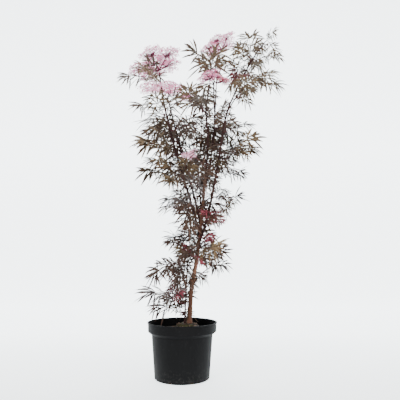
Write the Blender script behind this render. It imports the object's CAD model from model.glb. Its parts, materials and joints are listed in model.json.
"""Black elder shrub in a nursery pot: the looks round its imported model, as a Blender add-on.

One operator makes each group of pieces: bark, stalks, leaves, blossom, pot, soil and stage. The
limbs, shoots, leaves and flower heads grow by the seeded rule of the part's own source, and are then
carried on to finer leaves, cut into fingers, and to single florets. The object stands on Z = 0 with
the pot's axis on Z, and its front faces -Y. All sizes are in metres.
"""
import json
import math
import random
from collections import namedtuple

import bmesh
import bpy
from bpy.props import FloatProperty, FloatVectorProperty, IntProperty, PointerProperty
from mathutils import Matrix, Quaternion, Vector, noise
from mathutils.bvhtree import BVHTree
from mathutils.geometry import interpolate_bezier

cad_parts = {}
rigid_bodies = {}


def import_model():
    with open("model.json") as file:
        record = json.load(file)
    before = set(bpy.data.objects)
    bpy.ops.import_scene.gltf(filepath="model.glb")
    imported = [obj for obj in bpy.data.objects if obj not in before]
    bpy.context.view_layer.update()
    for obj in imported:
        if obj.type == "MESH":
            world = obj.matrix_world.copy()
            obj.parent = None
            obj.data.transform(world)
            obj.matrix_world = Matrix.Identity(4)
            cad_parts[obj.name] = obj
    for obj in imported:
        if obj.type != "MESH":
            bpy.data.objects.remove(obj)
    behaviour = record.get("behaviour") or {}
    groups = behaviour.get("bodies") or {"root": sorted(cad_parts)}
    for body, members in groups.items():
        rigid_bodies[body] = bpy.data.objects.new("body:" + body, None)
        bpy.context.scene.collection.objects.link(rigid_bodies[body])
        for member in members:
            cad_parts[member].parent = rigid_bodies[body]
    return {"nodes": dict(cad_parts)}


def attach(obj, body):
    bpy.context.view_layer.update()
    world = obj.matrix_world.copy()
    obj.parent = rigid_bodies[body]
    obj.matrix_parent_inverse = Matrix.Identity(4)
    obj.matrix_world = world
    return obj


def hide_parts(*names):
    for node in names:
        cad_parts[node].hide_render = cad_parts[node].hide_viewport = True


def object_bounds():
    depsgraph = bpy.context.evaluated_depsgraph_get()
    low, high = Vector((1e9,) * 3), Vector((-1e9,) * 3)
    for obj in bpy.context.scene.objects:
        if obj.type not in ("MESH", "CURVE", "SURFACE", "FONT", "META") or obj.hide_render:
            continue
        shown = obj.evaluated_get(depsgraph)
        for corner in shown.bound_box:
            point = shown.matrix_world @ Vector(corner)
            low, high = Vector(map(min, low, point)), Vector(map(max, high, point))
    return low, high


bl_info = {
    "name": "Potted black elder",
    "version": (1, 0, 0),
    "blender": (4, 5, 0),
    "location": "3D View > Sidebar > Elder",
    "description": "Dresses a potted black elder with bark, cut leaves, blossom, soil and a nursery pot",
    "category": "Add Mesh",
}

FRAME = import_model()
CAD_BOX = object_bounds()
BODY = "root"
UP = Vector((0, 0, 1))
GAP = 0.0003

# Pot: a ten litre nursery pot with a deep collar
POT_HEIGHT = 0.217
RIM_RADIUS = 0.140
COLLAR_RADIUS = 0.1365
COLLAR_FOOT = 0.1815
BODY_TOP = 0.170
BODY_TOP_RADIUS = 0.122
BASE_RADIUS = 0.109
BASE_EDGE = 0.005
LIP_HEIGHT = 0.004
WALL = 0.002
FLOOR = 0.0025
DRAINS = 8
DRAIN_WIDTH = 0.014
DRAIN_HEIGHT = 0.008
DRAIN_DEPTH = 0.012

# Soil: level inside the collar, with a mound that the plant stands on
SOIL_LEVEL = 0.185
MOUND_HEIGHT = 0.027
MOUND_CENTRE = Vector((0.020, 0.0, 0.0))
MOUND_FLAT = 0.034
MOUND_FOOT = 0.064
SOIL_TOP = SOIL_LEVEL + MOUND_HEIGHT

# Limbs
FLARE = 0.003
FLARE_HEIGHT = 0.014
TRUNK_SIDES = 10
BOUGH_SIDES = 8
LIMB_STEPS = 2

# Leaves: a stalk with opposite leaflets and one at the tip, cut from one thin arching blade
SHOOT_RADIUS = (0.0024, 0.0019)
SHOOT_LIFT = 0.22
MIN_SHOOT = 0.022
NODE_OVERRUN = 0.0025
TIP_SUNK = 0.005
STALK_WIDTH = 0.0018
LEAF_THICKNESS = 0.0016
LEAF_ARCH = 0.13
LEAF_LEAN = 0.35
LEAF_ROLL = 45
LEAF_TURN = (38, 95)
LEAF_PITCH = (-35, 30)
PAIR_SHARES = (0.38, 0.64)
PAIR_FOOT = 0.014
LEAFLET_ANGLE = 52
LEAFLET_LENGTH = 0.48
LEAFLET_WIDTH = 0.44
LEAFLET_BROADEST = 0.40
LEAFLET_DROOP = 0.14
PROBE_FOOT = 0.10
PROBE_MARGIN = 0.0006
SPACE_SHARE = 1.15
TRIES = 16

# Flower heads: rays from a hub, each with a flat cushion of florets at its end
RAY_RADIUS = (0.0017, 0.0012)
PLATE_DEPTH = 0.42
RAY_BOW = 0.10
CLUSTER_RING = 0.64
CUSHION_RADIUS = 0.35
CUSHION_THICKNESS = 0.26
CUSHION_SIDES = 6

# Finer form: each leaflet is cut into long narrow fingers, given as the share of its length where
# a pair leaves the rib, the finger's share of that length and its angle
EXTRA_LENGTH = (0.62, 0.92)
EXTRA_TURN = 140
EXTRA_PITCH = (-50, 60)
EXTRA_FRONT = 1
EXTRA_BACK = 3
EXTRA_TRIES = 40
EXTRA_SEED = 900
BACK = 0.10
CHANNEL = 0.28
FINGERS = ((0.03, 0.92, 47), (0.32, 0.74, 31))
FINGER_SHARES = (0.0, 0.28, 0.56, 0.80, 1.0)
FINGER_WIDTHS = (0.25, 0.70, 1.0, 0.68)
FINGER_DROOP = 0.28
LEAFLET_ROLL = 1.0
FULL_LEAF = 0.150
BROADER = {"olive": 1.2}
FINGER_FORWARD = 0.10
FINGER_SWAY = 0.30
FINGER_SHADE = 0.40
RIB_SHARES = (0.0, 0.25, 0.5, 0.7, 0.88, 1.0)
RIB_WIDTHS = (0.35, 0.7, 0.95, 0.95, 0.55)
RIB_BOW = 0.05
TONE_MIX = {"dark": ("dark", "dark", "dark", "dark", "olive", "grey"), "olive": ("olive", "olive", "olive", "olive"),
            "grey": ("grey", "grey", "dark"), "red": ("red",)}
STALK_STEPS = 6
STALK_RADIUS = (0.0012, 0.0007)
FOOT_PAIR = 0.20
FOOT_SIZE = 0.70

# Finer form: flower heads and limbs
FLOWER_SPREAD = 1.25
TWIG_STEP = 0.0080
FLORETS = 11
BUD_SHARE = 0.4
RAY_SKIN = (0.0026, 0.0018)
TWIG_SKIN = (0.0012, 0.0007)
KNOTS = 0.085

# Finer form: pot and soil
PIECE_SIDES = 96
SOIL_STEPS = 34
CRUMB = 0.0024
CHIP_KINDS = 3
CAMERA_PLACE = (0.071, -1.864, 0.471)
CAMERA_TILT = 97.31
CAMERA_LENS = 40.68
SWEEP_SIZE = 14.0
SWEEP_BACK = 4.5
SWEEP_HEIGHT = 5.0
SWEEP_BEND = 2.0
SWEEP_GLOW = 3.6
SKY = 0.75
LIGHTS = (("key", (-1.8, -2.6, 3.0), 2.2, 1.0), ("fill", (2.4, -1.8, 1.9), 2.4, 0.4),
          ("front", (0.5, -3.2, 0.5), 2.0, 0.6))
PETAL_GLOW = 0.45
UPPER_LEVEL = (1.08, 0.24)
UPPER_SHARE = 0.5
Limb = namedtuple("Limb", "parent height route base_radius tip_radius colour")
Shoot = namedtuple("Shoot", "limb height tip leaves length tone seed")
Umbel = namedtuple("Umbel", "limb height hub face spread rays tone seed")
TIP = None

# Each limb leaves its parent at a height, or goes on from the parent's tip, and follows its route
LIMBS = {
    "trunk": Limb(None, None, ((0.029, 0.0, SOIL_TOP + GAP), (0.035, 0.0, 0.342), (0.051, 0.0, 0.426),
                               (0.068, 0.0, 0.544), (0.079, 0.005, 0.648), (0.092, 0.005, 0.795)),
                  0.0098, 0.0056, "bark"),
    "side_stem": Limb(None, None, ((0.010, -0.003, SOIL_TOP + GAP), (0.013, -0.010, 0.300),
                                   (0.021, -0.017, 0.455)), 0.0040, 0.0024, "stem"),
    "bough_left": Limb("trunk", 0.560, ((0.050, -0.022, 0.642), (-0.005, -0.040, 0.823),
                                        (-0.050, -0.050, 0.982), (-0.082, -0.050, 1.128),
                                        (-0.098, -0.050, 1.232)), 0.0054, 0.0029, "stem"),
    "bough_left_back": Limb("trunk", 0.600, ((0.045, 0.025, 0.735), (-0.008, 0.036, 0.916),
                                             (-0.050, 0.050, 1.087), (-0.070, 0.050, 1.165)),
                            0.0048, 0.0027, "stem"),
    "bough_back": Limb("trunk", 0.640, ((0.070, 0.065, 0.760), (0.062, 0.100, 0.900),
                                        (0.052, 0.120, 1.040)), 0.0038, 0.0020, "stem"),
    "bough_middle": Limb("trunk", TIP, ((0.101, -0.020, 0.890), (0.103, -0.044, 0.988),
                                        (0.096, -0.050, 1.080), (0.112, -0.050, 1.190)),
                         0.0050, 0.0027, "stem"),
    "bough_middle_back": Limb("trunk", 0.745, ((0.114, 0.036, 0.867), (0.132, 0.050, 1.024),
                                               (0.142, 0.045, 1.212)), 0.0046, 0.0027, "stem"),
    "bough_top": Limb("bough_middle_back", 1.090, ((0.132, 0.076, 1.220), (0.141, 0.080, 1.330),
                                                   (0.158, 0.072, 1.385)), 0.0033, 0.0022, "stem"),
    "bough_right": Limb("trunk", 0.530, ((0.099, -0.016, 0.626), (0.134, -0.022, 0.791),
                                         (0.163, -0.020, 0.969), (0.194, -0.015, 1.110),
                                         (0.289, 0.000, 1.309), (0.348, 0.000, 1.396)),
                        0.0058, 0.0023, "stem"),
    "bough_right_low": Limb("bough_right", 1.085, ((0.222, -0.036, 1.140), (0.262, -0.042, 1.192)),
                            0.0028, 0.0020, "stem"),
}

# Leafy masses: the limb, the height they leave it at, the tip they reach, how many leaves of which
# length they carry, their tone and the seed of the rule
SHOOTS = {
    "rim_back": Shoot("side_stem", 0.246, (-0.145, 0.110, 0.265), 2, 0.145, "dark", 67),
    "low_left": Shoot("side_stem", 0.285, (-0.170, -0.075, 0.335), 3, 0.170, "dark", 51),
    "low_middle": Shoot("side_stem", TIP, (-0.145, -0.035, 0.385), 2, 0.170, "dark", 165),
    "low_left_back": Shoot("trunk", 0.400, (-0.080, 0.100, 0.430), 3, 0.135, "dark", 119),
    "low_right": Shoot("trunk", 0.345, (0.190, -0.025, 0.525), 2, 0.125, "dark", 143),
    "low_front": Shoot("trunk", 0.460, (0.005, -0.165, 0.485), 2, 0.160, "dark", 153),
    "low_back": Shoot("trunk", 0.420, (0.055, 0.175, 0.535), 2, 0.155, "dark", 59),
    "waist_left": Shoot("trunk", 0.495, (-0.080, -0.050, 0.530), 3, 0.145, "dark", 189),
    "waist_back": Shoot("trunk", 0.520, (-0.005, 0.135, 0.595), 3, 0.165, "dark", 136),
    "mid_left": Shoot("bough_left", 0.655, (-0.100, -0.035, 0.670), 2, 0.170, "dark", 60),
    "mid_left_back": Shoot("bough_left_back", 0.690, (-0.050, 0.115, 0.675), 4, 0.160, "dark", 110),
    "mid_right": Shoot("bough_right", 0.575, (0.260, -0.015, 0.740), 2, 0.130, "dark", 11),
    "mid_front": Shoot("trunk", 0.660, (-0.005, -0.160, 0.665), 2, 0.145, "dark", 130),
    "mid_right_back": Shoot("bough_right", 0.700, (0.175, 0.145, 0.775), 3, 0.120, "dark", 151),
    "mid_back": Shoot("bough_back", 0.720, (0.005, 0.230, 0.845), 4, 0.155, "dark", 67),
    "upper_left": Shoot("bough_left", 0.775, (-0.190, -0.050, 0.820), 2, 0.170, "olive", 13),
    "upper_left_back": Shoot("bough_left_back", 0.830, (-0.140, 0.195, 0.905), 4, 0.190, "dark", 55),
    "upper_front": Shoot("bough_left", 0.760, (-0.065, -0.190, 0.750), 2, 0.190, "dark", 184),
    "upper_right": Shoot("bough_right", 0.800, (0.270, -0.030, 0.810), 2, 0.150, "dark", 47),
    "upper_far_right": Shoot("bough_right", 0.850, (0.325, -0.020, 0.990), 2, 0.155, "olive", 143),
    "upper_right_back": Shoot("bough_right", 0.895, (0.280, 0.160, 0.960), 4, 0.160, "dark", 33),
    "upper_middle": Shoot("bough_middle", 0.850, (0.080, -0.200, 0.880), 3, 0.185, "dark", 118),
    "upper_back": Shoot("bough_back", 0.900, (-0.010, 0.275, 0.915), 4, 0.175, "dark", 163),
    "shoulder_left": Shoot("bough_left", 0.880, (-0.205, -0.090, 0.935), 2, 0.185, "olive", 98),
    "shoulder_left_high": Shoot("bough_left_back", 0.960, (-0.190, 0.035, 1.015), 2, 0.185, "dark", 29),
    "shoulder_left_back": Shoot("bough_left_back", 1.010, (-0.190, 0.155, 1.100), 4, 0.180, "dark", 137),
    "shoulder_front": Shoot("bough_left", 0.990, (0.065, -0.185, 0.955), 2, 0.165, "grey", 164),
    "shoulder_back": Shoot("bough_back", TIP, (0.060, 0.215, 1.125), 4, 0.205, "dark", 96),
    "crown_left": Shoot("bough_left", 1.055, (-0.225, -0.045, 1.100), 2, 0.155, "dark", 25),
    "crown_middle": Shoot("bough_middle", 1.060, (0.015, -0.050, 1.140), 4, 0.195, "dark", 38),
    "crown_middle_right": Shoot("bough_middle_back", 1.030, (0.230, 0.150, 1.070), 4, 0.160, "dark", 169),
    "crown_right": Shoot("bough_right", 0.990, (0.300, -0.005, 1.030), 2, 0.175, "grey", 181),
    "tip_left": Shoot("bough_left", 1.200, (-0.280, -0.050, 1.215), 3, 0.150, "dark", 87),
    "top_middle": Shoot("bough_top", 1.240, (0.000, 0.015, 1.405), 3, 0.195, "olive", 47),
    "crown_far_right": Shoot("bough_right_low", 1.130, (0.320, -0.050, 1.180), 3, 0.125, "olive", 24),
    "right_hanging": Shoot("bough_right_low", TIP, (0.425, -0.060, 1.165), 2, 0.165, "olive", 115),
    "right_inner": Shoot("bough_right", 1.265, (0.225, 0.010, 1.415), 4, 0.145, "olive", 160),
    "right_high": Shoot("bough_right", 1.310, (0.270, 0.030, 1.470), 2, 0.170, "olive", 57),
    "right_far": Shoot("bough_right", 1.318, (0.430, -0.040, 1.315), 2, 0.120, "olive", 195),
    "right_tip": Shoot("bough_right", TIP, (0.415, 0.010, 1.465), 2, 0.105, "olive", 67),
}

# Flower heads: the limb, the height, the hub, the way the plate faces, its radius, how many rays
# it has, its tone and the seed of the rule
UMBELS = {
    "top_left": Umbel("bough_left", TIP, (-0.102, -0.050, 1.252), (-0.36, 0.12, 0.92),
                      0.112, 6, "pink", 71),
    "pale": Umbel("bough_left", 1.080, (-0.127, -0.078, 1.150), (-0.10, -0.80, 0.60),
                  0.050, 6, "pale", 72),
    "left": Umbel("bough_left_back", TIP, (-0.066, 0.044, 1.188), (0.05, -0.76, 0.65),
                  0.064, 6, "pink", 73),
    "small": Umbel("bough_left_back", 1.120, (0.012, 0.010, 1.150), (0.10, -0.80, 0.60),
                   0.026, 4, "pink", 74),
    "top": Umbel("bough_top", TIP, (0.168, 0.070, 1.402), (-0.40, 0.10, 0.91),
                 0.080, 6, "pink", 75),
    "middle": Umbel("bough_middle", TIP, (0.113, -0.050, 1.212), (-0.45, 0.05, 0.89),
                    0.046, 6, "pink", 76),
    "middle_back": Umbel("bough_middle_back", TIP, (0.143, 0.044, 1.234), (0.25, -0.10, 0.96),
                         0.060, 6, "red", 77),
    "front": Umbel("bough_middle", 0.840, (0.032, -0.105, 0.870), (-0.15, -0.65, 0.75),
                   0.030, 4, "pale", 78),
}

# Young leaves and sprigs that are too small for the solids
SPRIGS = {
    "young_top": Shoot("bough_right", 1.200, (0.205, -0.060, 1.262), 2, 0.085, "red", 3),
    "young_mid": Shoot("trunk", 0.600, (0.155, -0.085, 0.655), 3, 0.085, "red", 5),
    "young_fork": Shoot("trunk", 0.520, (0.125, -0.060, 0.565), 2, 0.070, "red", 9),
    "young_waist": Shoot("trunk", 0.470, (0.000, -0.060, 0.520), 3, 0.075, "red", 8),
    "young_low": Shoot("side_stem", 0.330, (-0.045, -0.055, 0.385), 3, 0.080, "red", 4),
}


def curve(points, steps):
    """Points of a smooth curve through the given ones."""
    line = []
    last = len(points) - 1
    for index in range(last):
        start, end = points[index], points[index + 1]
        leaving = (end - points[max(index - 1, 0)]) / 6
        arriving = (points[min(index + 2, last)] - start) / 6
        line += interpolate_bezier(start, start + leaving, end - arriving, end, steps + 1)[:-1]
    return line + [points[-1]]


def arc(start, corner, end, steps):
    """Points of the curve from start to end that a corner draws out."""
    return interpolate_bezier(start, start.lerp(corner, 2 / 3), end.lerp(corner, 2 / 3), end, steps + 1)


class Stem:
    """A limb's centre line, with its radius at each point."""

    def __init__(self, line, radii):
        self.line = line
        self.radii = radii

    def at(self, height):
        """The centre, direction and radius where the limb passes a height, or at its tip."""
        if height is TIP:
            return self.line[-1], (self.line[-1] - self.line[-2]).normalized(), self.radii[-1]
        for index in range(len(self.line) - 1):
            low, high = self.line[index], self.line[index + 1]
            if high.z >= height:
                share = (height - low.z) / (high.z - low.z)
                radius = self.radii[index] + (self.radii[index + 1] - self.radii[index]) * share
                return low.lerp(high, share), (high - low).normalized(), radius
        raise ValueError("no point of the limb at height %g" % height)

    def leave(self, height, target):
        """Where a shoot towards a target starts, clear of the bark, and the way the bark faces there."""
        centre, along, radius = self.at(height)
        if height is TIP:
            return centre + along * GAP, along
        heading = (target - centre).normalized()
        facing = (heading - along * heading.dot(along)).normalized()
        return centre + heading * ((radius + GAP) / heading.dot(facing)), facing


def tube(line, radii, sides, facing=None):
    """A closed tube round a line, as vertices and faces; its base lies square to facing."""
    vertices = []
    along = (line[1] - line[0]).normalized()
    side = along.orthogonal().normalized()
    last = len(line) - 1
    for index, centre in enumerate(line):
        way = (line[min(index + 1, last)] - line[max(index - 1, 0)]).normalized()
        side = along.rotation_difference(way) @ side
        along = way
        for turn in range(sides):
            point = centre + Quaternion(along, 2 * math.pi * turn / sides) @ side * radii[index]
            if index == 0 and facing is not None:
                point += along * ((centre - point).dot(facing) / along.dot(facing))
            vertices.append(point)
    faces = [tuple(reversed(range(sides))), tuple(range(last * sides, (last + 1) * sides))]
    for index in range(last):
        for turn in range(sides):
            low, after = index * sides + turn, index * sides + (turn + 1) % sides
            faces.append((low, after, after + sides, low + sides))
    return vertices, faces


def taper(count, base, tip):
    """Radii that run evenly from base to tip."""
    return [base + (tip - base) * index / (count - 1) for index in range(count)]


def grow_limbs():
    """The centre lines of the trunk, the side stem and the boughs."""
    stems = {}
    for name, limb in LIMBS.items():
        route = [Vector(point) for point in limb.route]
        facing = UP
        if limb.parent:
            start, facing = stems[limb.parent].leave(limb.height, route[0])
            route = [start] + route
        line = curve(route, LIMB_STEPS)
        radii = taper(len(line), limb.base_radius, limb.tip_radius)
        if name == "trunk":
            line.insert(1, line[0].lerp(line[1], FLARE_HEIGHT / (line[1].z - line[0].z)))
            radii.insert(1, radii[0])
            radii[0] += FLARE
        stems[name] = Stem(line, radii)
        stems[name].facing = facing
        stems[name].sides = TRUNK_SIDES if name == "trunk" else BOUGH_SIDES
    return stems


class Crown:
    """The shapes grown so far, for the rule that nothing touches."""

    def __init__(self):
        self.trees = []

    def add(self, shape, owner=None):
        """Note a shape, and the mass whose own leaves may spring from it."""
        self.trees.append((BVHTree.FromPolygons(*shape), owner))

    def touches(self, shape, owner=None):
        """Whether a shape cuts one grown before, other than its owner's shoot."""
        tree = BVHTree.FromPolygons(*shape)
        return any(tree.overlap(other) for other, name in self.trees if name is None or name != owner)


def web(ridges, edges, first):
    """Faces that carry a leaflet on its stalk: seven above its keel and three below it."""
    near, far, tip, crest = range(first, first + 4)
    (back_ridge, front_ridge), (back, front) = ridges, edges
    faces = [(back_ridge, back, near), (back_ridge, near, crest), (near, tip, crest), (tip, far, crest),
             (crest, far, front_ridge), (far, front, front_ridge),
             (back, front, near), (front, far, near), (near, far, tip)]
    if front_ridge != back_ridge:
        faces.append((back_ridge, crest, front_ridge))
    return faces


class Leaf:
    """A compound leaf: a stalk that arches from its node to its tip, with opposite leaflets."""

    def __init__(self, start, end, rng):
        self.span = (end - start).length
        chord = (end - start).normalized()
        lean = UP - Vector((chord.x, chord.y, 0)) * LEAF_LEAN
        self.face = (lean - chord * chord.dot(lean)).normalized()
        self.crest = start.lerp(end, 0.45) + self.face * LEAF_ARCH * 2 * self.span
        self.face.rotate(Quaternion(chord, math.radians(rng.uniform(-LEAF_ROLL, LEAF_ROLL))))
        self.side = chord.cross(self.face)
        self.start = start
        self.end = end
        self.leaflets = []
        for pair, share in enumerate(PAIR_SHARES):
            for hand in (-1, 1):
                self.leaflets.append((pair, hand) + self.leaflet(share, hand, rng))

    def on_stalk(self, share):
        """The point at a share of the way along the stalk's arch."""
        return self.start.lerp(self.crest, share).lerp(self.crest.lerp(self.end, share), share)

    def leaflet(self, share, hand, rng):
        """The corners of a leaflet that points forwards from the stalk."""
        root = self.on_stalk(share)
        along = (self.on_stalk(share + 0.02) - root).normalized()
        angle = math.radians(LEAFLET_ANGLE + rng.uniform(-8, 8))
        way = along * math.cos(angle) + self.side * hand * math.sin(angle)
        way = (way + self.face * rng.uniform(-0.22, 0.15)).normalized()
        return self.kite(root, way, self.span * LEAFLET_LENGTH * rng.uniform(0.88, 1.05), hand)

    def kite(self, root, way, length, hand):
        """A leaflet's corners: the one nearer the leaf's foot, the one nearer its tip, the tip, the keel."""
        across = way.cross(self.face).normalized() * hand * LEAFLET_WIDTH * length / 2
        broad = root + way * LEAFLET_BROADEST * length
        tip = root + way * length - self.face * LEAFLET_DROOP * length
        return broad + across, broad - across, tip, broad

    def blade(self, leaflets, foot=0.0, margin=0.0):
        """The leaf as one keeled blade; a foot and a margin give the fuller shape that tests use."""
        edge = self.side * STALK_WIDTH / 2
        rise = self.face * (LEAF_THICKNESS + margin)
        drop = self.face * margin
        stations = [foot]
        for share in PAIR_SHARES:
            stations += [share - PAIR_FOOT, share + PAIR_FOOT]
        points = []
        for share in stations:
            centre = self.on_stalk(share)
            points += [centre - edge - drop, centre + edge - drop, centre + rise]
        last = len(points) - 3
        carried = {(6 * pair + 3, hand): corners for pair, hand, *corners in leaflets}
        faces = [(0, 1, 2)]
        for low in range(0, last, 3):
            faces.append((low, low + 1, low + 4, low + 3))
            for hand in (-1, 1):
                back = low + (hand > 0)
                corners = carried.get((low, hand))
                if corners is None:
                    faces.append((back, low + 2, low + 5, back + 3))
                    continue
                faces += web((low + 2, low + 5), (back, back + 3), len(points))
                points += [corner - drop for corner in corners[:3]] + [corners[3] + rise]
        root = self.on_stalk(PAIR_SHARES[-1] + PAIR_FOOT)
        way = self.end - root
        near, far, _, keel = self.kite(root, way.normalized(), way.length, 1)
        faces += web((last + 2, last + 2), (last + 1, last), len(points))
        return points + [near - drop, far - drop, self.end - drop, keel + rise], faces

    def probe(self, leaflets):
        """The leaf without the foot of its stalk, a little thicker than it is built."""
        return self.blade(leaflets, PROBE_FOOT, PROBE_MARGIN)


def turned_way(way, turn, pitch):
    """A direction turned about the vertical and then pitched, both in degrees."""
    flat = Vector((way.x, way.y, 0)).normalized()
    flat.rotate(Quaternion(UP, math.radians(turn)))
    return flat * math.cos(math.radians(pitch)) + UP * math.sin(math.radians(pitch))


def shoot_line(shoot, stem):
    """The way the bark faces where a leafy shoot starts, and the shoot's line up to its node."""
    centre, along, _ = stem.at(shoot.height)
    tip = Vector(shoot.tip)
    reach = (tip - centre).length
    node = centre.lerp(tip, max(reach - shoot.length, MIN_SHOOT) / reach)
    length = (node - centre).length
    corner = centre.lerp(node, 0.5) + UP * SHOOT_LIFT * length
    if shoot.height is TIP:
        corner = centre + along * length / 2
    start, facing = stem.leave(shoot.height, corner)
    return facing, arc(start, corner, node, 3)


def grow_leaves(name, shoot, line, crown):
    """The leaves of a shoot, where what would touch or stray is skipped."""
    rng = random.Random(shoot.seed)
    tip = Vector(shoot.tip)
    node = line[-1]
    grown = []
    for attempt in range(TRIES):
        if len(grown) == shoot.leaves:
            break
        root, end, sunk = node, tip, TIP_SUNK
        if attempt:
            root = line[-1] if attempt < TRIES / 2 else line[-2]
            turn = rng.uniform(*LEAF_TURN) * (1 if attempt % 2 else -1)
            way = turned_way(tip - line[0], turn, rng.uniform(*LEAF_PITCH))
            end = root + way * shoot.length * rng.uniform(0.82, 0.98)
            sunk = 0
        leaf = Leaf(root, end, rng)
        kept = [part for part in leaf.leaflets if not crown.touches(leaf.probe([part]), name)]
        strays = (end - node).length > SPACE_SHARE * shoot.length
        stalk = leaf.blade([], 0.0, PROBE_MARGIN)
        if strays or crown.touches(stalk, name) or len(kept) < len(leaf.leaflets) - 2:
            continue
        leaf.foot = -sunk / leaf.span
        grown.append((leaf, kept))
        crown.add(leaf.probe(kept))
        crown.add(stalk, name)
    return grown


def cushion(centre, face, radius):
    """A flat cushion of florets: a low double cone with a few sides."""
    side = face.orthogonal().normalized() * radius
    ring = [centre + Quaternion(face, 2 * math.pi * turn / CUSHION_SIDES) @ side
            for turn in range(CUSHION_SIDES)]
    rise = face * radius * CUSHION_THICKNESS
    faces = []
    for turn in range(CUSHION_SIDES):
        after = (turn + 1) % CUSHION_SIDES
        faces += [(turn, after, CUSHION_SIDES), (after, turn, CUSHION_SIDES + 1)]
    return ring + [centre + rise, centre - rise], faces


def umbel_line(umbel, stem):
    """The way the bark faces where a flower head's stalk starts, and the stalk's line to its hub."""
    hub = Vector(umbel.hub)
    centre = stem.at(umbel.height)[0]
    corner = centre.lerp(hub, 0.5) + UP * SHOOT_LIFT * (hub - centre).length
    start, facing = stem.leave(umbel.height, corner)
    return facing, [start, hub] if umbel.height is TIP else arc(start, corner, hub, 3)


def ray_shapes(ray):
    """A ray's tube and the cushion at its end."""
    spoke, face, radius = ray
    return [tube(spoke, taper(len(spoke), *RAY_RADIUS), 3), cushion(spoke[-1], face, radius)]


def grow_rays(name, umbel, crown):
    """The rays of a flower head, each with the way its cushion faces and the cushion's radius."""
    rng = random.Random(umbel.seed)
    hub = Vector(umbel.hub)
    face = Vector(umbel.face).normalized()
    side = face.orthogonal().normalized()
    rays = []
    for ray in range(umbel.rays):
        ring = 0 if ray == umbel.rays - 1 else umbel.spread * CLUSTER_RING * rng.uniform(0.94, 1.06)
        angle = 2 * math.pi * (ray + rng.uniform(-0.08, 0.08)) / (umbel.rays - 1)
        outward = Quaternion(face, angle) @ side * ring
        centre = hub + face * umbel.spread * PLATE_DEPTH * rng.uniform(0.9, 1.15) + outward
        radius = umbel.spread * CUSHION_RADIUS * rng.uniform(0.95, 1.05)
        if not crown.touches(cushion(centre, face, radius), name):
            rays.append(([hub, hub.lerp(centre, 0.5) + outward * RAY_BOW, centre], face, radius))
    for ray in rays:
        for shape in ray_shapes(ray):
            crown.add(shape)
    return rays


def outline(thing):
    """An object's mesh as vertices and faces."""
    return [vertex.co for vertex in thing.data.vertices], [face.vertices for face in thing.data.polygons]


class Plant:
    """The whole growth, worked out once and shared by the operators."""

    grown = None

    def __init__(self):
        self.crown = Crown()
        for name in ("pot", "soil"):
            self.crown.add(outline(FRAME["nodes"][name]))
        self.stems = grow_limbs()
        for stem in self.stems.values():
            wider = [radius + PROBE_MARGIN for radius in stem.radii]
            self.crown.add(tube(stem.line, wider, stem.sides, stem.facing))
        self.limbs = Crown()
        self.limbs.trees = list(self.crown.trees)
        self.lines = {name: umbel_line(umbel, self.stems[umbel.limb]) for name, umbel in UMBELS.items()}
        self.lines.update({name: shoot_line(shoot, self.stems[shoot.limb]) for name, shoot in SHOOTS.items()})
        for name, (facing, line) in self.lines.items():
            beyond = line + [line[-1] + (line[-1] - line[-2]).normalized() * NODE_OVERRUN]
            self.crown.add(tube(beyond, taper(len(beyond), *SHOOT_RADIUS), 3, facing), name)
        self.rays = {name: grow_rays(name, umbel, self.crown) for name, umbel in UMBELS.items()}
        self.leaves = {name: grow_leaves(name, shoot, self.lines[name][1], self.crown)
                       for name, shoot in SHOOTS.items()}
        for name, shoot in SHOOTS.items():
            self.leaves[name] += more_leaves(shoot, self.lines[name][1], self.limbs)
        for name, shoot in SPRIGS.items():
            self.lines[name] = shoot_line(shoot, self.stems[shoot.limb])
            self.leaves[name] = grow_leaves(name, shoot, self.lines[name][1], self.limbs)

    @classmethod
    def get(cls):
        """The growth, made on first use."""
        if cls.grown is None:
            cls.grown = cls()
        return cls.grown


def in_reach(points):
    """Whether points lie inside the solid model's box and above the pot."""
    low, high = (Vector(corner) for corner in CAD_BOX)
    low.z = POT_HEIGHT
    return all(low[axis] < point[axis] < high[axis] for point in points for axis in range(3))


def more_leaves(shoot, line, limbs):
    """Smaller leaves between a shoot's own, most of them at the back, where they keep clear of the limbs."""
    rng = random.Random(shoot.seed + EXTRA_SEED)
    tip = Vector(shoot.tip)
    found = []
    for attempt in range(EXTRA_TRIES):
        if len(found) == (EXTRA_BACK if tip.y > BACK else EXTRA_FRONT):
            break
        root = line[rng.randint(1, len(line) - 1)]
        way = turned_way(tip - line[0], rng.uniform(-EXTRA_TURN, EXTRA_TURN), rng.uniform(*EXTRA_PITCH))
        leaf = Leaf(root, root + way * shoot.length * rng.uniform(*EXTRA_LENGTH), rng)
        probe = leaf.probe(leaf.leaflets)
        if in_reach(probe[0]) and not limbs.touches(probe):
            found.append((leaf, leaf.leaflets))
    return found


class Skin:
    """Points, faces and two shades a point, that gather into joined pieces of one finish."""

    def __init__(self):
        self.points = []
        self.faces = []
        self.shade = []
        self.reach = []

    def add(self, shape, shade=0.5, reach=None):
        """Add a shape: shade is one number for its spray, reach one number a point."""
        points, faces = shape
        first = len(self.points)
        self.points += points
        self.faces += [tuple(index + first for index in face) for face in faces]
        self.shade += [shade] * len(points)
        self.reach += reach or [0.0] * len(points)

    def piece(self, name, material, smooth=True):
        """The joined mesh as a piece of the object."""
        data = bpy.data.meshes.new(name)
        data.from_pydata(self.points, [], self.faces)
        for label, numbers in (("shade", self.shade), ("reach", self.reach)):
            data.attributes.new(label, "FLOAT", "POINT").data.foreach_set("value", numbers)
        if smooth:
            data.shade_smooth()
        made = bpy.data.objects.new(name, data)
        bpy.context.scene.collection.objects.link(made)
        return finished(made, material)


def finished(thing, material):
    """Give a piece its material and let it ride on the model's body."""
    thing.data.materials.clear()
    thing.data.materials.append(material)
    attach(thing, BODY)
    return thing


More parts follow.
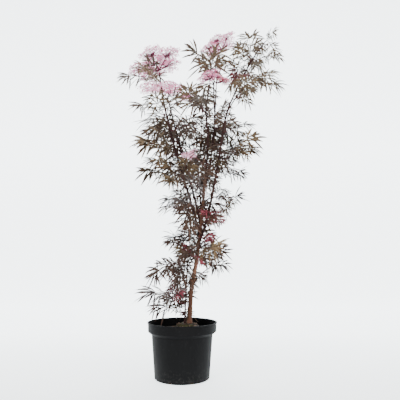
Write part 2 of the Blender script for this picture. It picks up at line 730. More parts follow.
def blade(line, widths, face):
    """A thin channelled blade along a line, narrowing to a point at its end; with reach from 0 to 1."""
    points = []
    reach = []
    last = len(line) - 1
    for index, (centre, width) in enumerate(zip(line, widths)):
        along = line[index + 1] - line[max(index - 1, 0)]
        side = along.cross(face).normalized() * (width / 2)
        rise = face * (width * CHANNEL)
        points += [centre - side + rise, centre, centre + side + rise]
        reach += [index / last] * 3
    faces = []
    for low in range(0, 3 * last - 3, 3):
        faces += [(low, low + 1, low + 4, low + 3), (low + 1, low + 2, low + 5, low + 4)]
    tip = 3 * last
    return points + [line[-1]], faces + [(tip - 3, tip - 2, tip), (tip - 2, tip - 1, tip)], reach + [1.0]


def finger(root, way, bend, face, length, width):
    """A long narrow pointed lobe of a leaflet, bent forwards and down."""
    line = [root + way * (length * share) + bend * (length * share * share) for share in FINGER_SHARES]
    return blade(line, [width * broad for broad in FINGER_WIDTHS], face)


def cut_leaflet(skin, root, tip, face, rng, shade, width):
    """A leaflet cut to its rib into pairs of fingers, with the longest one at its tip."""
    span = tip - root
    length = span.length
    way = span.normalized()
    face = (face - way * face.dot(way)).normalized()
    face.rotate(Quaternion(way, rng.uniform(-LEAFLET_ROLL, LEAFLET_ROLL)))
    side = way.cross(face)
    bow = face * (RIB_BOW * length)
    rib = [root + span * share + bow * (4 * share * (1 - share)) for share in RIB_SHARES]
    shape = blade(rib, [width * broad for broad in RIB_WIDTHS], face)
    skin.add(shape[:2], shade, shape[2])
    for share, reach, angle in FINGERS:
        for hand in (-1, 1):
            here = share + rng.uniform(-0.04, 0.04)
            start = root + span * here + bow * (4 * here * (1 - here))
            turn = math.radians(angle + rng.uniform(-7, 7))
            heading = way * math.cos(turn) + side * (hand * math.sin(turn))
            heading = (heading + face * rng.uniform(-FINGER_SWAY, FINGER_SWAY)).normalized()
            bend = way * FINGER_FORWARD - UP * (FINGER_DROOP * rng.uniform(0.3, 1.6))
            size = length * reach * rng.uniform(0.75, 1.15)
            shape = finger(start, heading, bend, face, size, width * rng.uniform(0.75, 1.05))
            skin.add(shape[:2], min(max(shade + rng.uniform(-FINGER_SHADE, FINGER_SHADE), 0.0), 1.0), shape[2])


def finger_share(leaf, shoot):
    """How broad a leaf's fingers are beside the usual width: with its length and its tone."""
    return min(max(leaf.span / FULL_LEAF, 0.6), 1.1) * BROADER.get(shoot.tone, 1.0)


def dress_leaf(leaf, kept, leaves, stalks, rng, shade, width):
    """The fine form of one leaf: its stalk, its leaflets and a small pair near its foot."""
    line = [leaf.on_stalk(PAIR_SHARES[-1] * step / STALK_STEPS) for step in range(STALK_STEPS + 1)]
    stalks.add(tube(line, taper(len(line), *STALK_RADIUS), 5), shade)
    for pair, hand, near, far, tip, broad in kept:
        cut_leaflet(leaves, leaf.on_stalk(PAIR_SHARES[pair]), tip, leaf.face, rng, shade, width)
    cut_leaflet(leaves, leaf.on_stalk(PAIR_SHARES[-1]), leaf.end, leaf.face, rng, shade, width)
    for hand in (-1, 1):
        near, far, tip, broad = leaf.leaflet(FOOT_PAIR, hand, rng)
        root = leaf.on_stalk(FOOT_PAIR)
        cut_leaflet(leaves, root, root.lerp(tip, FOOT_SIZE), leaf.face, rng, shade, width * 0.85)


def floret(centre, face, size, rng):
    """A flower of five spread petals."""
    side = face.orthogonal().normalized()
    points = [centre - face * size * 0.15]
    faces = []
    turn = rng.uniform(0, 2)
    for petal in range(5):
        angle = turn + 2 * math.pi * petal / 5
        for sway, reach, rise in ((-0.36, 0.62, 0.10), (0.0, 1.0, 0.04), (0.36, 0.62, 0.10)):
            around = Quaternion(face, angle + sway) @ side
            points.append(centre + around * (size / 2 * reach) + face * size * rise)
        low = 3 * petal + 1
        faces.append((0, low, low + 1, low + 2))
    return points, faces


def bud(centre, face, size):
    """A closed bud: a small double cone with four sides."""
    side = face.orthogonal().normalized() * size / 2
    ring = [centre + Quaternion(face, math.pi / 2 * turn) @ side for turn in range(4)]
    faces = [(turn, (turn + 1) % 4, 4) for turn in range(4)] + [((turn + 1) % 4, turn, 5) for turn in range(4)]
    return ring + [centre + face * size * 0.6, centre - face * size * 0.6], faces


def dress_ray(ray, petals, buds, stalks, rng, size):
    """One ray of a flower head: its stalk, its twigs, and the florets and buds that they carry."""
    spoke, face, radius = ray
    centre = spoke[-1]
    foot = spoke[-2].lerp(centre, 0.55)
    stalks.add(tube([spoke[0], spoke[-2], foot], taper(3, *RAY_SKIN), 5), 0.1)
    side = face.orthogonal().normalized()
    twigs = max(6, round((radius * FLOWER_SPREAD / TWIG_STEP) ** 2))
    for twig in range(twigs):
        angle = 2.39996 * twig + rng.uniform(-0.3, 0.3)
        away = radius * FLOWER_SPREAD * math.sqrt((twig + 0.5) / twigs)
        out = Quaternion(face, angle) @ side
        end = centre + out * away + face * (rng.uniform(-0.10, 0.20) - 0.25 * away / radius) * radius
        middle = foot.lerp(end, 0.5) + out * (0.12 * away)
        stalks.add(tube([foot, middle, end], taper(3, *TWIG_SKIN), 3), 0.7)
        tilt = (face + out * rng.uniform(0.1, 0.7)).normalized()
        for blossom in range(FLORETS):
            around = Quaternion(tilt, 2 * math.pi * (blossom + rng.random()) / FLORETS) @ tilt.orthogonal().normalized()
            spot = end + around * (size * rng.uniform(0.5, 1.15)) + tilt * size * rng.uniform(-0.2, 0.6)
            looking = (tilt + around * rng.uniform(-0.6, 1.6)).normalized()
            if rng.random() < BUD_SHARE:
                buds.add(bud(spot, looking, size * 0.46), rng.random())
            else:
                petals.add(floret(spot, looking, size * rng.uniform(0.85, 1.2), rng), rng.random())


def bark_tube(stem, sides, step, relief, knots, seed):
    """A limb's skin: its tapering tube with ridges, small lumps and swollen nodes."""
    line = []
    radii = []
    for index in range(len(stem.line) - 1):
        start, end = stem.line[index], stem.line[index + 1]
        parts = max(1, round((end - start).length / step))
        for part in range(parts):
            share = part / parts
            line.append(start.lerp(end, share))
            radii.append(stem.radii[index] + (stem.radii[index + 1] - stem.radii[index]) * share)
    line.append(stem.line[-1])
    radii.append(stem.radii[-1])
    length = 0.0
    for index in range(len(line)):
        length += (line[index] - line[max(index - 1, 0)]).length
        away = abs((length + seed * 0.013) % knots - knots / 2)
        radii[index] *= 1 + 0.16 * math.exp(-(away / 0.004) ** 2)
    points, faces = tube(line, radii, sides, stem.facing)
    reach = []
    for index, point in enumerate(points):
        centre = line[index // sides]
        spot = Vector((point.x * 220, point.y * 220, point.z * 34)) + Vector((seed, 0, 0))
        ridge = noise.noise(spot) * 0.6 + noise.noise(point * 260 + Vector((0, seed, 0))) * 0.4
        points[index] = point + (point - centre) * (ridge * relief)
        reach.append(0.5 + 0.5 * ridge)
    return points, faces, reach


class Value:
    """A socket that takes Python's arithmetic; each operation adds its Math node."""

    def __init__(self, finish, socket):
        self.finish = finish
        self.socket = socket

    def _math(self, operation, first, second):
        return self.finish.node("ShaderNodeMath", {"operation": operation}, {0: first, 1: second})

    def __add__(self, other):
        return self._math("ADD", self, other)

    __radd__ = __add__

    def __mul__(self, other):
        return self._math("MULTIPLY", self, other)

    __rmul__ = __mul__

    def __sub__(self, other):
        return self._math("SUBTRACT", self, other)

    def __rsub__(self, other):
        return self._math("SUBTRACT", other, self)

    def __pow__(self, other):
        return self._math("POWER", self, other)

    def above(self, level, blur):
        """A mask that rises from 0 to 1 round a level."""
        return self.finish.node("ShaderNodeMapRange", {"clamp": True},
                                {"Value": self, "From Min": level - blur, "From Max": level + blur})


class Finish:
    """A Principled material, and the one way that its nodes are made."""

    def __init__(self, name, **sockets):
        self.material = bpy.data.materials.new(name)
        self.material.use_nodes = True
        self.nodes = self.material.node_tree.nodes
        self.shader = self.nodes["Principled BSDF"]
        for label, value in sockets.items():
            self.shader.inputs[label.replace("_", " ").title().replace("Ior", "IOR")].default_value = value

    def node(self, kind, settings=None, inputs=None, output=0):
        """Add a node with its settings first, then the values or links of its sockets."""
        made = self.nodes.new(kind)
        for label, value in (settings or {}).items():
            if label == "stops":
                for place, colour in value[2:]:
                    made.color_ramp.elements.new(place)
                for stop, (place, colour) in zip(made.color_ramp.elements, sorted(value)):
                    stop.position = place
                    stop.color = (*colour, 1)
            else:
                setattr(made, label, value)
        for label, value in (inputs or {}).items():
            self.feed(made.inputs[label], value)
        return Value(self, made.outputs[output])

    def feed(self, socket, value):
        """Link a value to a socket, or set the socket's own number or colour."""
        if isinstance(value, Value):
            self.material.node_tree.links.new(value.socket, socket)
        elif isinstance(value, (tuple, list)) and len(value) == 3 and socket.type == "RGBA":
            socket.default_value = (*value, 1)
        else:
            socket.default_value = value

    def spot(self, scale=(1, 1, 1)):
        """Object coordinates, stretched by a scale."""
        place = self.node("ShaderNodeTexCoord", output=3)
        return self.node("ShaderNodeMapping", {}, {"Vector": place, "Scale": scale})

    def noise(self, scale, detail=3.0, stretch=(1, 1, 1), rough=0.55):
        """Noise between 0 and 1."""
        return self.node("ShaderNodeTexNoise", {}, {"Vector": self.spot(stretch), "Scale": scale,
                                                    "Detail": detail, "Roughness": rough})

    def shade(self, label):
        """One of the piece's own attributes."""
        return self.node("ShaderNodeAttribute", {"attribute_name": label}, output=2)

    def mix(self, share, first, second):
        """A colour between two."""
        return self.node("ShaderNodeMix", {"data_type": "RGBA"}, {0: share, 6: first, 7: second}, 2)

    def colour(self, value):
        """Feed the base colour."""
        self.feed(self.shader.inputs["Base Color"], value)

    def roughness(self, value):
        """Feed the roughness."""
        self.feed(self.shader.inputs["Roughness"], value)

    def bump(self, height, strength, distance):
        """Feed the normal with a relief."""
        relief = self.node("ShaderNodeBump", {}, {"Height": height, "Strength": strength, "Distance": distance})
        self.feed(self.shader.inputs["Normal"], relief)


def rgb(value):
    """A property's colour as a plain tuple."""
    return tuple(value)


def scaled(colour, factor):
    """A colour made darker or lighter."""
    return tuple(min(channel * factor, 1.0) for channel in colour)


def leaf_finish(name, colour, upper, edge):
    """Leaf skin: mottled, each spray lighter or darker, redder towards the fingers' tips and paler near the top."""
    finish = Finish(name, specular_ior_level=0.13)
    mottle = finish.noise(140, 3)
    deep = finish.mix(mottle, scaled(colour, 0.15), scaled(colour, 0.5))
    light = finish.mix(mottle, scaled(colour, 1.7), scaled(colour, 3.2))
    spray = finish.mix(finish.shade("shade"), deep, light)
    height = finish.node("ShaderNodeSeparateXYZ", {}, {0: finish.spot()}, 2)
    spray = finish.mix(height.above(*UPPER_LEVEL) * UPPER_SHARE, spray, upper)
    finish.colour(finish.mix(finish.shade("reach") ** 2.5 * 0.55, spray, edge))
    finish.roughness(0.38 + 0.25 * mottle)
    finish.bump(finish.noise(700, 2), 0.25, 0.0006)
    return finish.material


def stalk_finish(colour, tip):
    """Leaf and flower stalks: dark red, greener and duller in patches."""
    finish = Finish("stalk_skin", specular_ior_level=0.15)
    mottle = finish.noise(45, 2)
    finish.colour(finish.mix(finish.shade("shade"), finish.mix(mottle * 0.4, colour, tip), scaled(tip, 0.8)))
    finish.roughness(0.4 + 0.2 * mottle)
    finish.bump(finish.noise(500, 2, (1, 1, 0.2)), 0.3, 0.0004)
    return finish.material


def bark_finish(name, colour, pale, scale, dots):
    """Bark: long ridges, pale flecks and small corky dots."""
    finish = Finish(name, specular_ior_level=0.12)
    grain = finish.noise(scale, 5, (1, 1, 0.16))
    patches = finish.noise(26, 3, (1, 1, 0.5))
    cells = finish.node("ShaderNodeTexVoronoi", {}, {"Vector": finish.spot((1, 1, 0.45)), "Scale": dots})
    corky = 1 - cells.above(0.16, 0.06)
    base = finish.mix(grain.above(0.5, 0.2), scaled(colour, 0.45), colour)
    worn = finish.mix(patches.above(0.56, 0.12) * 0.7, base, pale)
    finish.colour(finish.mix(corky * 0.6, worn, scaled(pale, 1.25)))
    finish.roughness(0.62 + 0.3 * grain)
    finish.bump(grain + corky * 0.5, 0.8, 0.0012)
    return finish.material


def petal_finish(name, colour, heart):
    """Petals: each floret a little paler or pinker, with a soft sheen."""
    finish = Finish(name, specular_ior_level=0.25, emission_strength=PETAL_GLOW)
    tone = finish.mix(finish.shade("shade"), scaled(colour, 0.62), scaled(colour, 1.15))
    tinted = finish.mix(finish.noise(90, 2).above(0.56, 0.1) * 0.45, tone, heart)
    finish.colour(tinted)
    finish.feed(finish.shader.inputs["Emission Color"], tinted)
    finish.roughness(0.55 + 0.2 * finish.noise(300, 2))
    finish.bump(finish.noise(900, 2), 0.2, 0.0003)
    return finish.material


def pot_finish(colour, dust):
    """Moulded plastic: fine grain, faint wipe marks, and dried splashes low on the body."""
    finish = Finish("pot_plastic", specular_ior_level=0.05)
    grain = finish.noise(1400, 2)
    wipes = finish.noise(16, 4, (1, 1, 0.35))
    marks = finish.noise(60, 5, (1, 1, 0.6), 0.7).above(0.70, 0.05)
    height = finish.node("ShaderNodeSeparateXYZ", {}, {0: finish.spot()}, 2)
    low = 1 - height.above(0.03, 0.03)
    splash = finish.noise(120, 4).above(0.60, 0.08) * low
    base = finish.mix(wipes, colour, scaled(colour, 1.7))
    finish.colour(finish.mix(marks * 0.10 + splash * 0.12, base, dust))
    finish.roughness(0.40 + 0.22 * wipes + 0.1 * grain)
    finish.bump(grain, 0.12, 0.0004)
    return finish.material


def soil_finish(colour, moss):
    """Damp peat: crumbs in several browns, greener where moss has taken on the mound."""
    finish = Finish("soil_crumbs", specular_ior_level=0.2)
    crumbs = finish.noise(320, 5, rough=0.7)
    green = finish.noise(38, 4).above(0.54, 0.08)
    height = finish.node("ShaderNodeSeparateXYZ", {}, {0: finish.spot()}, 2)
    base = finish.mix(crumbs.above(0.5, 0.15), scaled(colour, 0.35), scaled(colour, 1.3))
    finish.colour(finish.mix(green * height.above(0.198, 0.010), base, moss))
    finish.roughness(0.85 + 0.15 * crumbs)
    finish.bump(crumbs, 1.0, 0.003)
    return finish.material


def chip_finish(colour):
    """Bark chips: each its own brown, with a coarse grain."""
    finish = Finish("bark_chips", specular_ior_level=0.2)
    grain = finish.noise(420, 3, (1, 1, 0.4))
    tone = finish.mix(finish.shade("shade"), scaled(colour, 0.5), scaled(colour, 2.2))
    finish.colour(finish.mix(grain * 0.6, tone, scaled(colour, 0.6)))
    finish.roughness(0.8 + 0.15 * grain)
    finish.bump(grain, 0.6, 0.001)
    return finish.material


def sweep_finish(colour):
    """The stage's floor and back wall: matt, a little mottled, and brighter towards the back."""
    finish = Finish("sweep", roughness=0.9, emission_strength=SWEEP_GLOW)
    finish.colour(finish.mix(finish.noise(6, 2), colour, scaled(colour, 0.985)))
    depth = finish.node("ShaderNodeSeparateXYZ", {}, {0: finish.spot()}, 1)
    glow = finish.node("ShaderNodeMapRange", {"clamp": True}, {"Value": depth, "From Min": 0.6, "From Max": 3.6})
    finish.feed(finish.shader.inputs["Emission Color"], finish.mix(glow, (0.0, 0.0, 0.0), (0.90, 0.97, 1.0)))
    return finish.material


def deselect():
    """Nothing selected, in object mode."""
    if bpy.context.object and bpy.context.object.mode != "OBJECT":
        bpy.ops.object.mode_set(mode="OBJECT")
    bpy.ops.object.select_all(action="DESELECT")


def apply_modifiers(thing):
    """Make a piece's modifiers part of its mesh."""
    deselect()
    thing.select_set(True)
    bpy.context.view_layer.objects.active = thing
    for modifier in list(thing.modifiers):
        bpy.ops.object.modifier_apply(modifier=modifier.name)


def turned_piece(name, profile):
    """A closed round piece: a disc extruded and resized along a profile of radius and height."""
    deselect()
    radius, height = profile[0]
    bpy.ops.mesh.primitive_circle_add(vertices=PIECE_SIDES, radius=radius, fill_type="NGON", location=(0, 0, 0))
    piece = bpy.context.object
    piece.name = piece.data.name = name
    bpy.ops.object.mode_set(mode="EDIT")
    bpy.ops.mesh.select_mode(type="FACE")
    bpy.ops.transform.translate(value=(0, 0, height))
    for wider, higher in profile[1:]:
        bpy.ops.mesh.extrude_region_move(TRANSFORM_OT_translate={"value": (0, 0, higher - height)})
        bpy.ops.transform.resize(value=(wider / radius, wider / radius, 1), center_override=(0, 0, higher))
        radius, height = wider, higher
    return piece


def close_edit(smooth=38):
    """Leave edit mode with faces outwards and round parts shaded smooth."""
    bpy.ops.mesh.select_all(action="SELECT")
    bpy.ops.mesh.normals_make_consistent(inside=False)
    bpy.ops.object.mode_set(mode="OBJECT")
    bpy.ops.object.shade_smooth_by_angle(angle=math.radians(smooth))


def pot_wall():
    """The pot's inner side from the floor up, as radius and height."""
    return [(BASE_RADIUS - WALL, FLOOR), (BODY_TOP_RADIUS - WALL, BODY_TOP), (COLLAR_RADIUS - WALL, COLLAR_FOOT)]


def soil_rise(x, y):
    """The soil's height over a point of its top."""
    away = math.hypot(x - MOUND_CENTRE.x, y - MOUND_CENTRE.y)
    share = min(max((MOUND_FOOT - away) / (MOUND_FOOT - MOUND_FLAT), 0), 1)
    spot = Vector((x, y, 0))
    lumps = noise.noise(spot * 75) * 0.9 + noise.noise(spot * 210 + UP) * 0.55 + noise.noise(spot * 520) * 0.35
    return SOIL_LEVEL - 0.0015 + MOUND_HEIGHT * share * share * (3 - 2 * share) + lumps * CRUMB


class ElderSizes(bpy.types.PropertyGroup):
    """Sizes of the finer parts."""

    finger: FloatProperty(name="Finger width", description="Width of the fingers that a leaflet is cut into",
                          default=0.0078, min=0.002, max=0.014, unit="LENGTH")
    floret: FloatProperty(name="Floret width", description="Width of one open floret",
                          default=0.0094, min=0.003, max=0.014, unit="LENGTH")
    relief: FloatProperty(name="Bark relief", description="Height of the bark's ridges as a share of the radius",
                          default=0.14, min=0.0, max=0.4, subtype="FACTOR")
    edge: FloatProperty(name="Pot edges", description="Radius of the pot's rounded edges",
                        default=0.0009, min=0.0003, max=0.003, unit="LENGTH")
    chips: IntProperty(name="Bark chips", description="How many bark chips lie on the soil",
                       default=260, min=0, max=600)
    light: FloatProperty(name="Key light", description="Power of the large soft light",
                         default=110.0, min=0.0, max=500.0, unit="POWER")


def shade_property(label, colour, about):
    """A colour that a user would change."""
    return FloatVectorProperty(name=label, description=about, default=colour, min=0.0, max=1.0,
                               size=3, subtype="COLOR")


class ElderColours(bpy.types.PropertyGroup):
    """Colours of the plant, its pot and the stage."""

    dark: shade_property("Dark leaves", (0.034, 0.021, 0.015), "Blackish bronze of most leaves")
    olive: shade_property("Olive leaves", (0.086, 0.060, 0.034), "Bronze green of the younger leaves")
    grey: shade_property("Grey leaves", (0.048, 0.040, 0.038), "Leaves with a grey sheen")
    red: shade_property("Young leaves", (0.170, 0.038, 0.052), "Red of the youngest leaves")
    upper: shade_property("Upper leaves", (0.160, 0.126, 0.090), "Tint of the leaves near the top")
    edge: shade_property("Leaf tips", (0.110, 0.050, 0.036), "Tint towards the fingers' tips")
    stalk: shade_property("Stalks", (0.042, 0.013, 0.014), "Dark red of leaf and flower stalks")
    fresh: shade_property("Fresh stalks", (0.120, 0.038, 0.040), "Paler red in patches on the stalks")
    ray: shade_property("Rays", (0.260, 0.050, 0.100), "Twigs of the flower heads")
    trunk: shade_property("Trunk bark", (0.095, 0.040, 0.024), "Brown of the trunk")
    pale: shade_property("Pale bark", (0.250, 0.130, 0.085), "Worn patches on the trunk")
    bough: shade_property("Bough bark", (0.030, 0.012, 0.011), "Purple brown of the boughs")
    corky: shade_property("Bough flecks", (0.062, 0.031, 0.027), "Flecks on the boughs")
    pink: shade_property("Pink petals", (0.900, 0.410, 0.610), "Most open florets")
    white: shade_property("Pale petals", (0.940, 0.620, 0.740), "Oldest florets")
    rose: shade_property("Rose petals", (0.640, 0.170, 0.190), "Florets that are only opening")
    bud: shade_property("Buds", (0.700, 0.200, 0.330), "Closed buds")
    pot: shade_property("Pot", (0.0030, 0.0030, 0.0032), "Black nursery plastic")
    dust: shade_property("Dust", (0.160, 0.150, 0.135), "Dried splashes and wipe marks")
    soil: shade_property("Soil", (0.032, 0.023, 0.017), "Damp peat")
    moss: shade_property("Moss", (0.046, 0.044, 0.016), "Moss on the mound")
    chip: shade_property("Chips", (0.075, 0.048, 0.033), "Bark chips")
    floor: shade_property("Floor", (0.900, 0.900, 0.890), "Stage floor")


class ELDER_OT_bark(bpy.types.Operator):
    """Make the bark of the trunk, the side stem and the boughs"""

    bl_idname = "elder.bark"
    bl_label = "Bark"

    def execute(self, context):
        colours = context.scene.elder_colours
        relief = context.scene.elder_sizes.relief
        stems = Plant.get().stems
        trunk = Skin()
        boughs = Skin()
        for index, (name, stem) in enumerate(stems.items()):
            if name == "trunk":
                points, faces, reach = bark_tube(stem, 28, 0.004, relief, KNOTS * 1.3, index)
                trunk.add((points, faces), 0.5, reach)
            else:
                points, faces, reach = bark_tube(stem, 16, 0.004, relief * 0.6, KNOTS, index)
                boughs.add((points, faces), 0.5, reach)
        piece = trunk.piece("trunk_bark", bark_finish("trunk_bark", rgb(colours.trunk), rgb(colours.pale), 210, 300))
        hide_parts("trunk")
        piece = boughs.piece("bough_bark", bark_finish("bough_bark", rgb(colours.bough), rgb(colours.corky), 260, 420))
        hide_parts(*[name for name in stems if name != "trunk"])
        return {"FINISHED"}


class ELDER_OT_leaves(bpy.types.Operator):
    """Grow the leaves with their stalks and shoots"""

    bl_idname = "elder.leaves"
    bl_label = "Leaves"

    def execute(self, context):
        colours = context.scene.elder_colours
        width = context.scene.elder_sizes.finger
        plant = Plant.get()
        stalks = Skin()
        tones = {tone: Skin() for tone in ("dark", "olive", "grey", "red")}
        masses = {tone: [] for tone in tones}
        for name, grown in plant.leaves.items():
            shoot = SHOOTS.get(name) or SPRIGS[name]
            facing, line = plant.lines[name]
            stalks.add(tube(curve(line, 2), taper(2 * len(line) - 1, *SHOOT_RADIUS), 7, facing), 0.3)
            rng = random.Random(shoot.seed + 500)
            for leaf, kept in grown:
                shade = rng.random()
                tone = rng.choice(TONE_MIX[shoot.tone])
                dress_leaf(leaf, kept, tones[tone], stalks, rng, shade, width * finger_share(leaf, shoot))
            if name in SHOOTS:
                masses[shoot.tone].append("foliage_" + name)
        for tone, skin in tones.items():
            upper = rgb(getattr(colours, "red" if tone == "red" else "upper"))
            material = leaf_finish("leaf_" + tone, rgb(getattr(colours, tone)), upper, rgb(colours.edge))
            piece = skin.piece("leaves_" + tone, material)
            if masses[tone]:
                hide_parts(*masses[tone])
        piece = stalks.piece("leaf_stalks", stalk_finish(rgb(colours.stalk), rgb(colours.fresh)))
        return {"FINISHED"}


class ELDER_OT_blossom(bpy.types.Operator):
    """Grow the flower heads: rays, twigs, florets and buds"""

    bl_idname = "elder.blossom"
    bl_label = "Blossom"

    def execute(self, context):
        colours = context.scene.elder_colours
        size = context.scene.elder_sizes.floret
        plant = Plant.get()
        tints = {"pink": colours.pink, "pale": colours.white, "red": colours.rose}
        petals = {tone: Skin() for tone in tints}
        stalks = Skin()
        buds = Skin()
        heads = {tone: [] for tone in tints}
        for name, umbel in UMBELS.items():
            rng = random.Random(umbel.seed + 500)
            facing, line = plant.lines[name]
            stalks.add(tube(line, taper(len(line), *SHOOT_RADIUS), 8, facing), 0.6)
            for ray in plant.rays[name]:
                dress_ray(ray, petals[umbel.tone], buds, stalks, rng, size)
            heads[umbel.tone].append("flowers_" + name)
        for tone, skin in petals.items():
            piece = skin.piece("petals_" + tone, petal_finish("petal_" + tone, rgb(tints[tone]), rgb(colours.pink)))
            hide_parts(*heads[tone])
        buds.piece("flower_buds", petal_finish("bud_skin", rgb(colours.bud), rgb(colours.pink)))
        finish = stalk_finish(rgb(colours.stalk), rgb(colours.ray))
        finish.name = "ray_skin"
        stalks.piece("flower_rays", finish)
        return {"FINISHED"}


class ELDER_OT_pot(bpy.types.Operator):
    """Model the nursery pot"""

    bl_idname = "elder.pot"
    bl_label = "Pot"

    def execute(self, context):
        colours = context.scene.elder_colours
        lip = POT_HEIGHT - LIP_HEIGHT
        outer = [(BASE_RADIUS - BASE_EDGE, 0), (BASE_RADIUS - BASE_EDGE * 0.3, BASE_EDGE * 0.3),
                 (BASE_RADIUS, BASE_EDGE), (BODY_TOP_RADIUS, BODY_TOP), (COLLAR_RADIUS, COLLAR_FOOT),
                 (COLLAR_RADIUS + 0.0012, lip), (RIM_RADIUS, lip + LIP_HEIGHT * 0.3),
                 (RIM_RADIUS, POT_HEIGHT - LIP_HEIGHT * 0.2), (RIM_RADIUS - 0.0008, POT_HEIGHT),
                 (COLLAR_RADIUS - WALL + 0.0012, POT_HEIGHT)]
        piece = turned_piece("nursery_pot", outer + pot_wall()[::-1])
        close_edit()
        for turn in range(DRAINS):
            angle = 2 * math.pi * (turn + 0.5) / DRAINS
            deselect()
            bpy.ops.mesh.primitive_cube_add(size=1, rotation=(0, 0, angle),
                                            location=(math.cos(angle) * BASE_RADIUS, math.sin(angle) * BASE_RADIUS, 0),
                                            scale=(DRAIN_DEPTH, DRAIN_WIDTH, DRAIN_HEIGHT * 2))
            cutter = bpy.context.object
            cut = piece.modifiers.new("drain", "BOOLEAN")
            cut.operation = "DIFFERENCE"
            cut.solver = "EXACT"
            cut.object = cutter
            apply_modifiers(piece)
            bpy.data.objects.remove(cutter, do_unlink=True)
        soften = piece.modifiers.new("edges", "BEVEL")
        soften.width = context.scene.elder_sizes.edge
        soften.segments = 3
        soften.limit_method = "ANGLE"
        soften.angle_limit = math.radians(24)
        apply_modifiers(piece)
        bpy.ops.object.shade_smooth_by_angle(angle=math.radians(35))
        finished(piece, pot_finish(rgb(colours.pot), rgb(colours.dust)))
        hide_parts("pot")
        return {"FINISHED"}


class ELDER_OT_soil(bpy.types.Operator):
    """Model the soil with its mound, and strew it with bark chips"""

    bl_idname = "elder.soil"
    bl_label = "Soil"

    def execute(self, context):
        colours = context.scene.elder_colours
        wall = [(radius - GAP, height) for radius, height in pot_wall()]
        wall[0] = (wall[0][0], FLOOR + GAP)
        rim = wall[-1][0] + (SOIL_LEVEL - COLLAR_FOOT) / (POT_HEIGHT - COLLAR_FOOT) * 0.0012
        piece = turned_piece("potting_soil", wall + [(rim, SOIL_LEVEL - 0.0015)])
        for step in range(SOIL_STEPS):
            bpy.ops.mesh.inset(thickness=rim / (SOIL_STEPS + 1))
        bpy.ops.mesh.poke()
        close_edit(80)
        for vertex in piece.data.vertices:
            if vertex.co.z > SOIL_LEVEL - 0.003 and vertex.co.xy.length < rim - 0.001:
                vertex.co.z = soil_rise(vertex.co.x, vertex.co.y)
        finished(piece, soil_finish(rgb(colours.soil), rgb(colours.moss)))
        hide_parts("soil")
        self.strew(context.scene.elder_sizes.chips, rim, chip_finish(rgb(colours.chip)))
        return {"FINISHED"}

    def strew(self, count, rim, material):
        """Chips of a few shapes, turned and sized at random, joined into one piece."""
        rng = random.Random(21)
        kinds = []
        for kind in range(CHIP_KINDS):
            deselect()
            bpy.ops.mesh.primitive_cube_add(size=1)
            bpy.ops.object.mode_set(mode="EDIT")
            bpy.ops.mesh.bevel(offset=0.12 + 0.04 * kind, segments=1)
            bpy.ops.object.mode_set(mode="OBJECT")
            shape = bpy.context.object
            kinds.append(([vertex.co + Vector([rng.uniform(-0.09, 0.09) for axis in range(3)])
                           for vertex in shape.data.vertices],
                          [tuple(face.vertices) for face in shape.data.polygons]))
            bpy.data.objects.remove(shape, do_unlink=True)
        skin = Skin()
        for chip in range(count):
            away, angle = (rim - 0.010) * math.sqrt(rng.random()), rng.uniform(0, 2 * math.pi)
            x, y = away * math.cos(angle), away * math.sin(angle)
            turn = Quaternion(UP, rng.uniform(0, 6.28)) @ Quaternion((1, 0, 0), rng.uniform(-0.5, 0.5))
            size = Vector((rng.uniform(0.005, 0.014), rng.uniform(0.003, 0.007), rng.uniform(0.0015, 0.0035)))
            spot = Vector((x, y, soil_rise(x, y) + size.z * 0.2))
            points, faces = kinds[chip % CHIP_KINDS]
            skin.add(([turn @ (point * size) + spot for point in points], faces), rng.random())
        skin.piece("bark_chips", material, smooth=False)


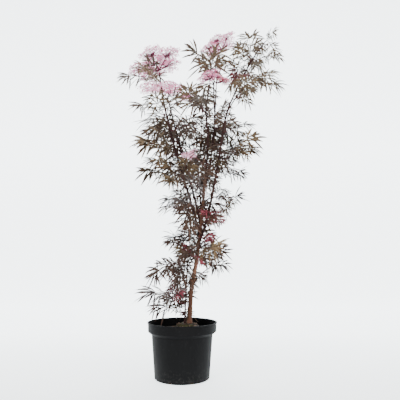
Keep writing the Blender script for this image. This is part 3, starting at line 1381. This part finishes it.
class ELDER_OT_stage(bpy.types.Operator):
    """Set the pale floor, the soft light and the camera"""

    bl_idname = "elder.stage"
    bl_label = "Stage"

    def execute(self, context):
        scene = context.scene
        deselect()
        bpy.ops.mesh.primitive_plane_add(size=SWEEP_SIZE, location=(0, SWEEP_BACK - SWEEP_SIZE / 2, 0))
        sweep = context.object
        sweep.name = "sweep"
        bpy.ops.object.mode_set(mode="EDIT")
        bpy.ops.mesh.select_mode(type="EDGE")
        bpy.ops.mesh.select_all(action="DESELECT")
        bpy.ops.object.mode_set(mode="OBJECT")
        for edge in sweep.data.edges:
            edge.select = all(sweep.data.vertices[end].co.y > SWEEP_SIZE / 2 - 0.01 for end in edge.vertices)
        bpy.ops.object.mode_set(mode="EDIT")
        bpy.ops.mesh.extrude_region_move(TRANSFORM_OT_translate={"value": (0, 0, SWEEP_HEIGHT)})
        bpy.ops.object.mode_set(mode="OBJECT")
        bend = sweep.modifiers.new("bend", "BEVEL")
        bend.width = SWEEP_BEND
        bend.segments = 24
        apply_modifiers(sweep)
        bpy.ops.object.shade_smooth()
        sweep.data.materials.append(sweep_finish(rgb(scene.elder_colours.floor)))
        for name, place, size, power in LIGHTS:
            bpy.ops.object.light_add(type="AREA", location=place)
            light = context.object
            light.name = name
            light.data.energy = scene.elder_sizes.light * power
            light.data.size = size
            light.rotation_euler = (Vector((0.05, 0, 0.7)) - Vector(place)).to_track_quat("-Z", "Y").to_euler()
        bpy.ops.object.camera_add(location=CAMERA_PLACE, rotation=(math.radians(CAMERA_TILT), 0, 0))
        context.object.data.lens = CAMERA_LENS
        scene.camera = context.object
        world = bpy.data.worlds.new("studio")
        world.use_nodes = True
        sky = world.node_tree.nodes["Background"]
        sky.inputs["Color"].default_value = (0.95, 0.975, 1.0, 1)
        sky.inputs["Strength"].default_value = SKY
        scene.world = world
        return {"FINISHED"}


class ELDER_PT_panel(bpy.types.Panel):
    """The potted black elder, piece by piece"""

    bl_label = "Potted black elder"
    bl_idname = "ELDER_PT_panel"
    bl_space_type = "VIEW_3D"
    bl_region_type = "UI"
    bl_category = "Elder"

    def draw(self, context):
        for operator in OPERATORS:
            self.layout.operator(operator.bl_idname)
        for group in (context.scene.elder_sizes, context.scene.elder_colours):
            column = self.layout.column()
            for label in group.__annotations__:
                column.prop(group, label)


OPERATORS = (ELDER_OT_bark, ELDER_OT_leaves, ELDER_OT_blossom, ELDER_OT_pot, ELDER_OT_soil, ELDER_OT_stage)
CLASSES = (ElderSizes, ElderColours) + OPERATORS + (ELDER_PT_panel,)


def register():
    """Add the classes and the scene's two groups of properties."""
    for entry in CLASSES:
        bpy.utils.register_class(entry)
    bpy.types.Scene.elder_sizes = PointerProperty(type=ElderSizes)
    bpy.types.Scene.elder_colours = PointerProperty(type=ElderColours)


def unregister():
    """Take them away again."""
    del bpy.types.Scene.elder_colours
    del bpy.types.Scene.elder_sizes
    for entry in reversed(CLASSES):
        bpy.utils.unregister_class(entry)


def main():
    """Make every piece."""
    register()
    bpy.ops.elder.bark()
    bpy.ops.elder.leaves()
    bpy.ops.elder.blossom()
    bpy.ops.elder.pot()
    bpy.ops.elder.soil()
    bpy.ops.elder.stage()


if __name__ == "__main__":
    main()
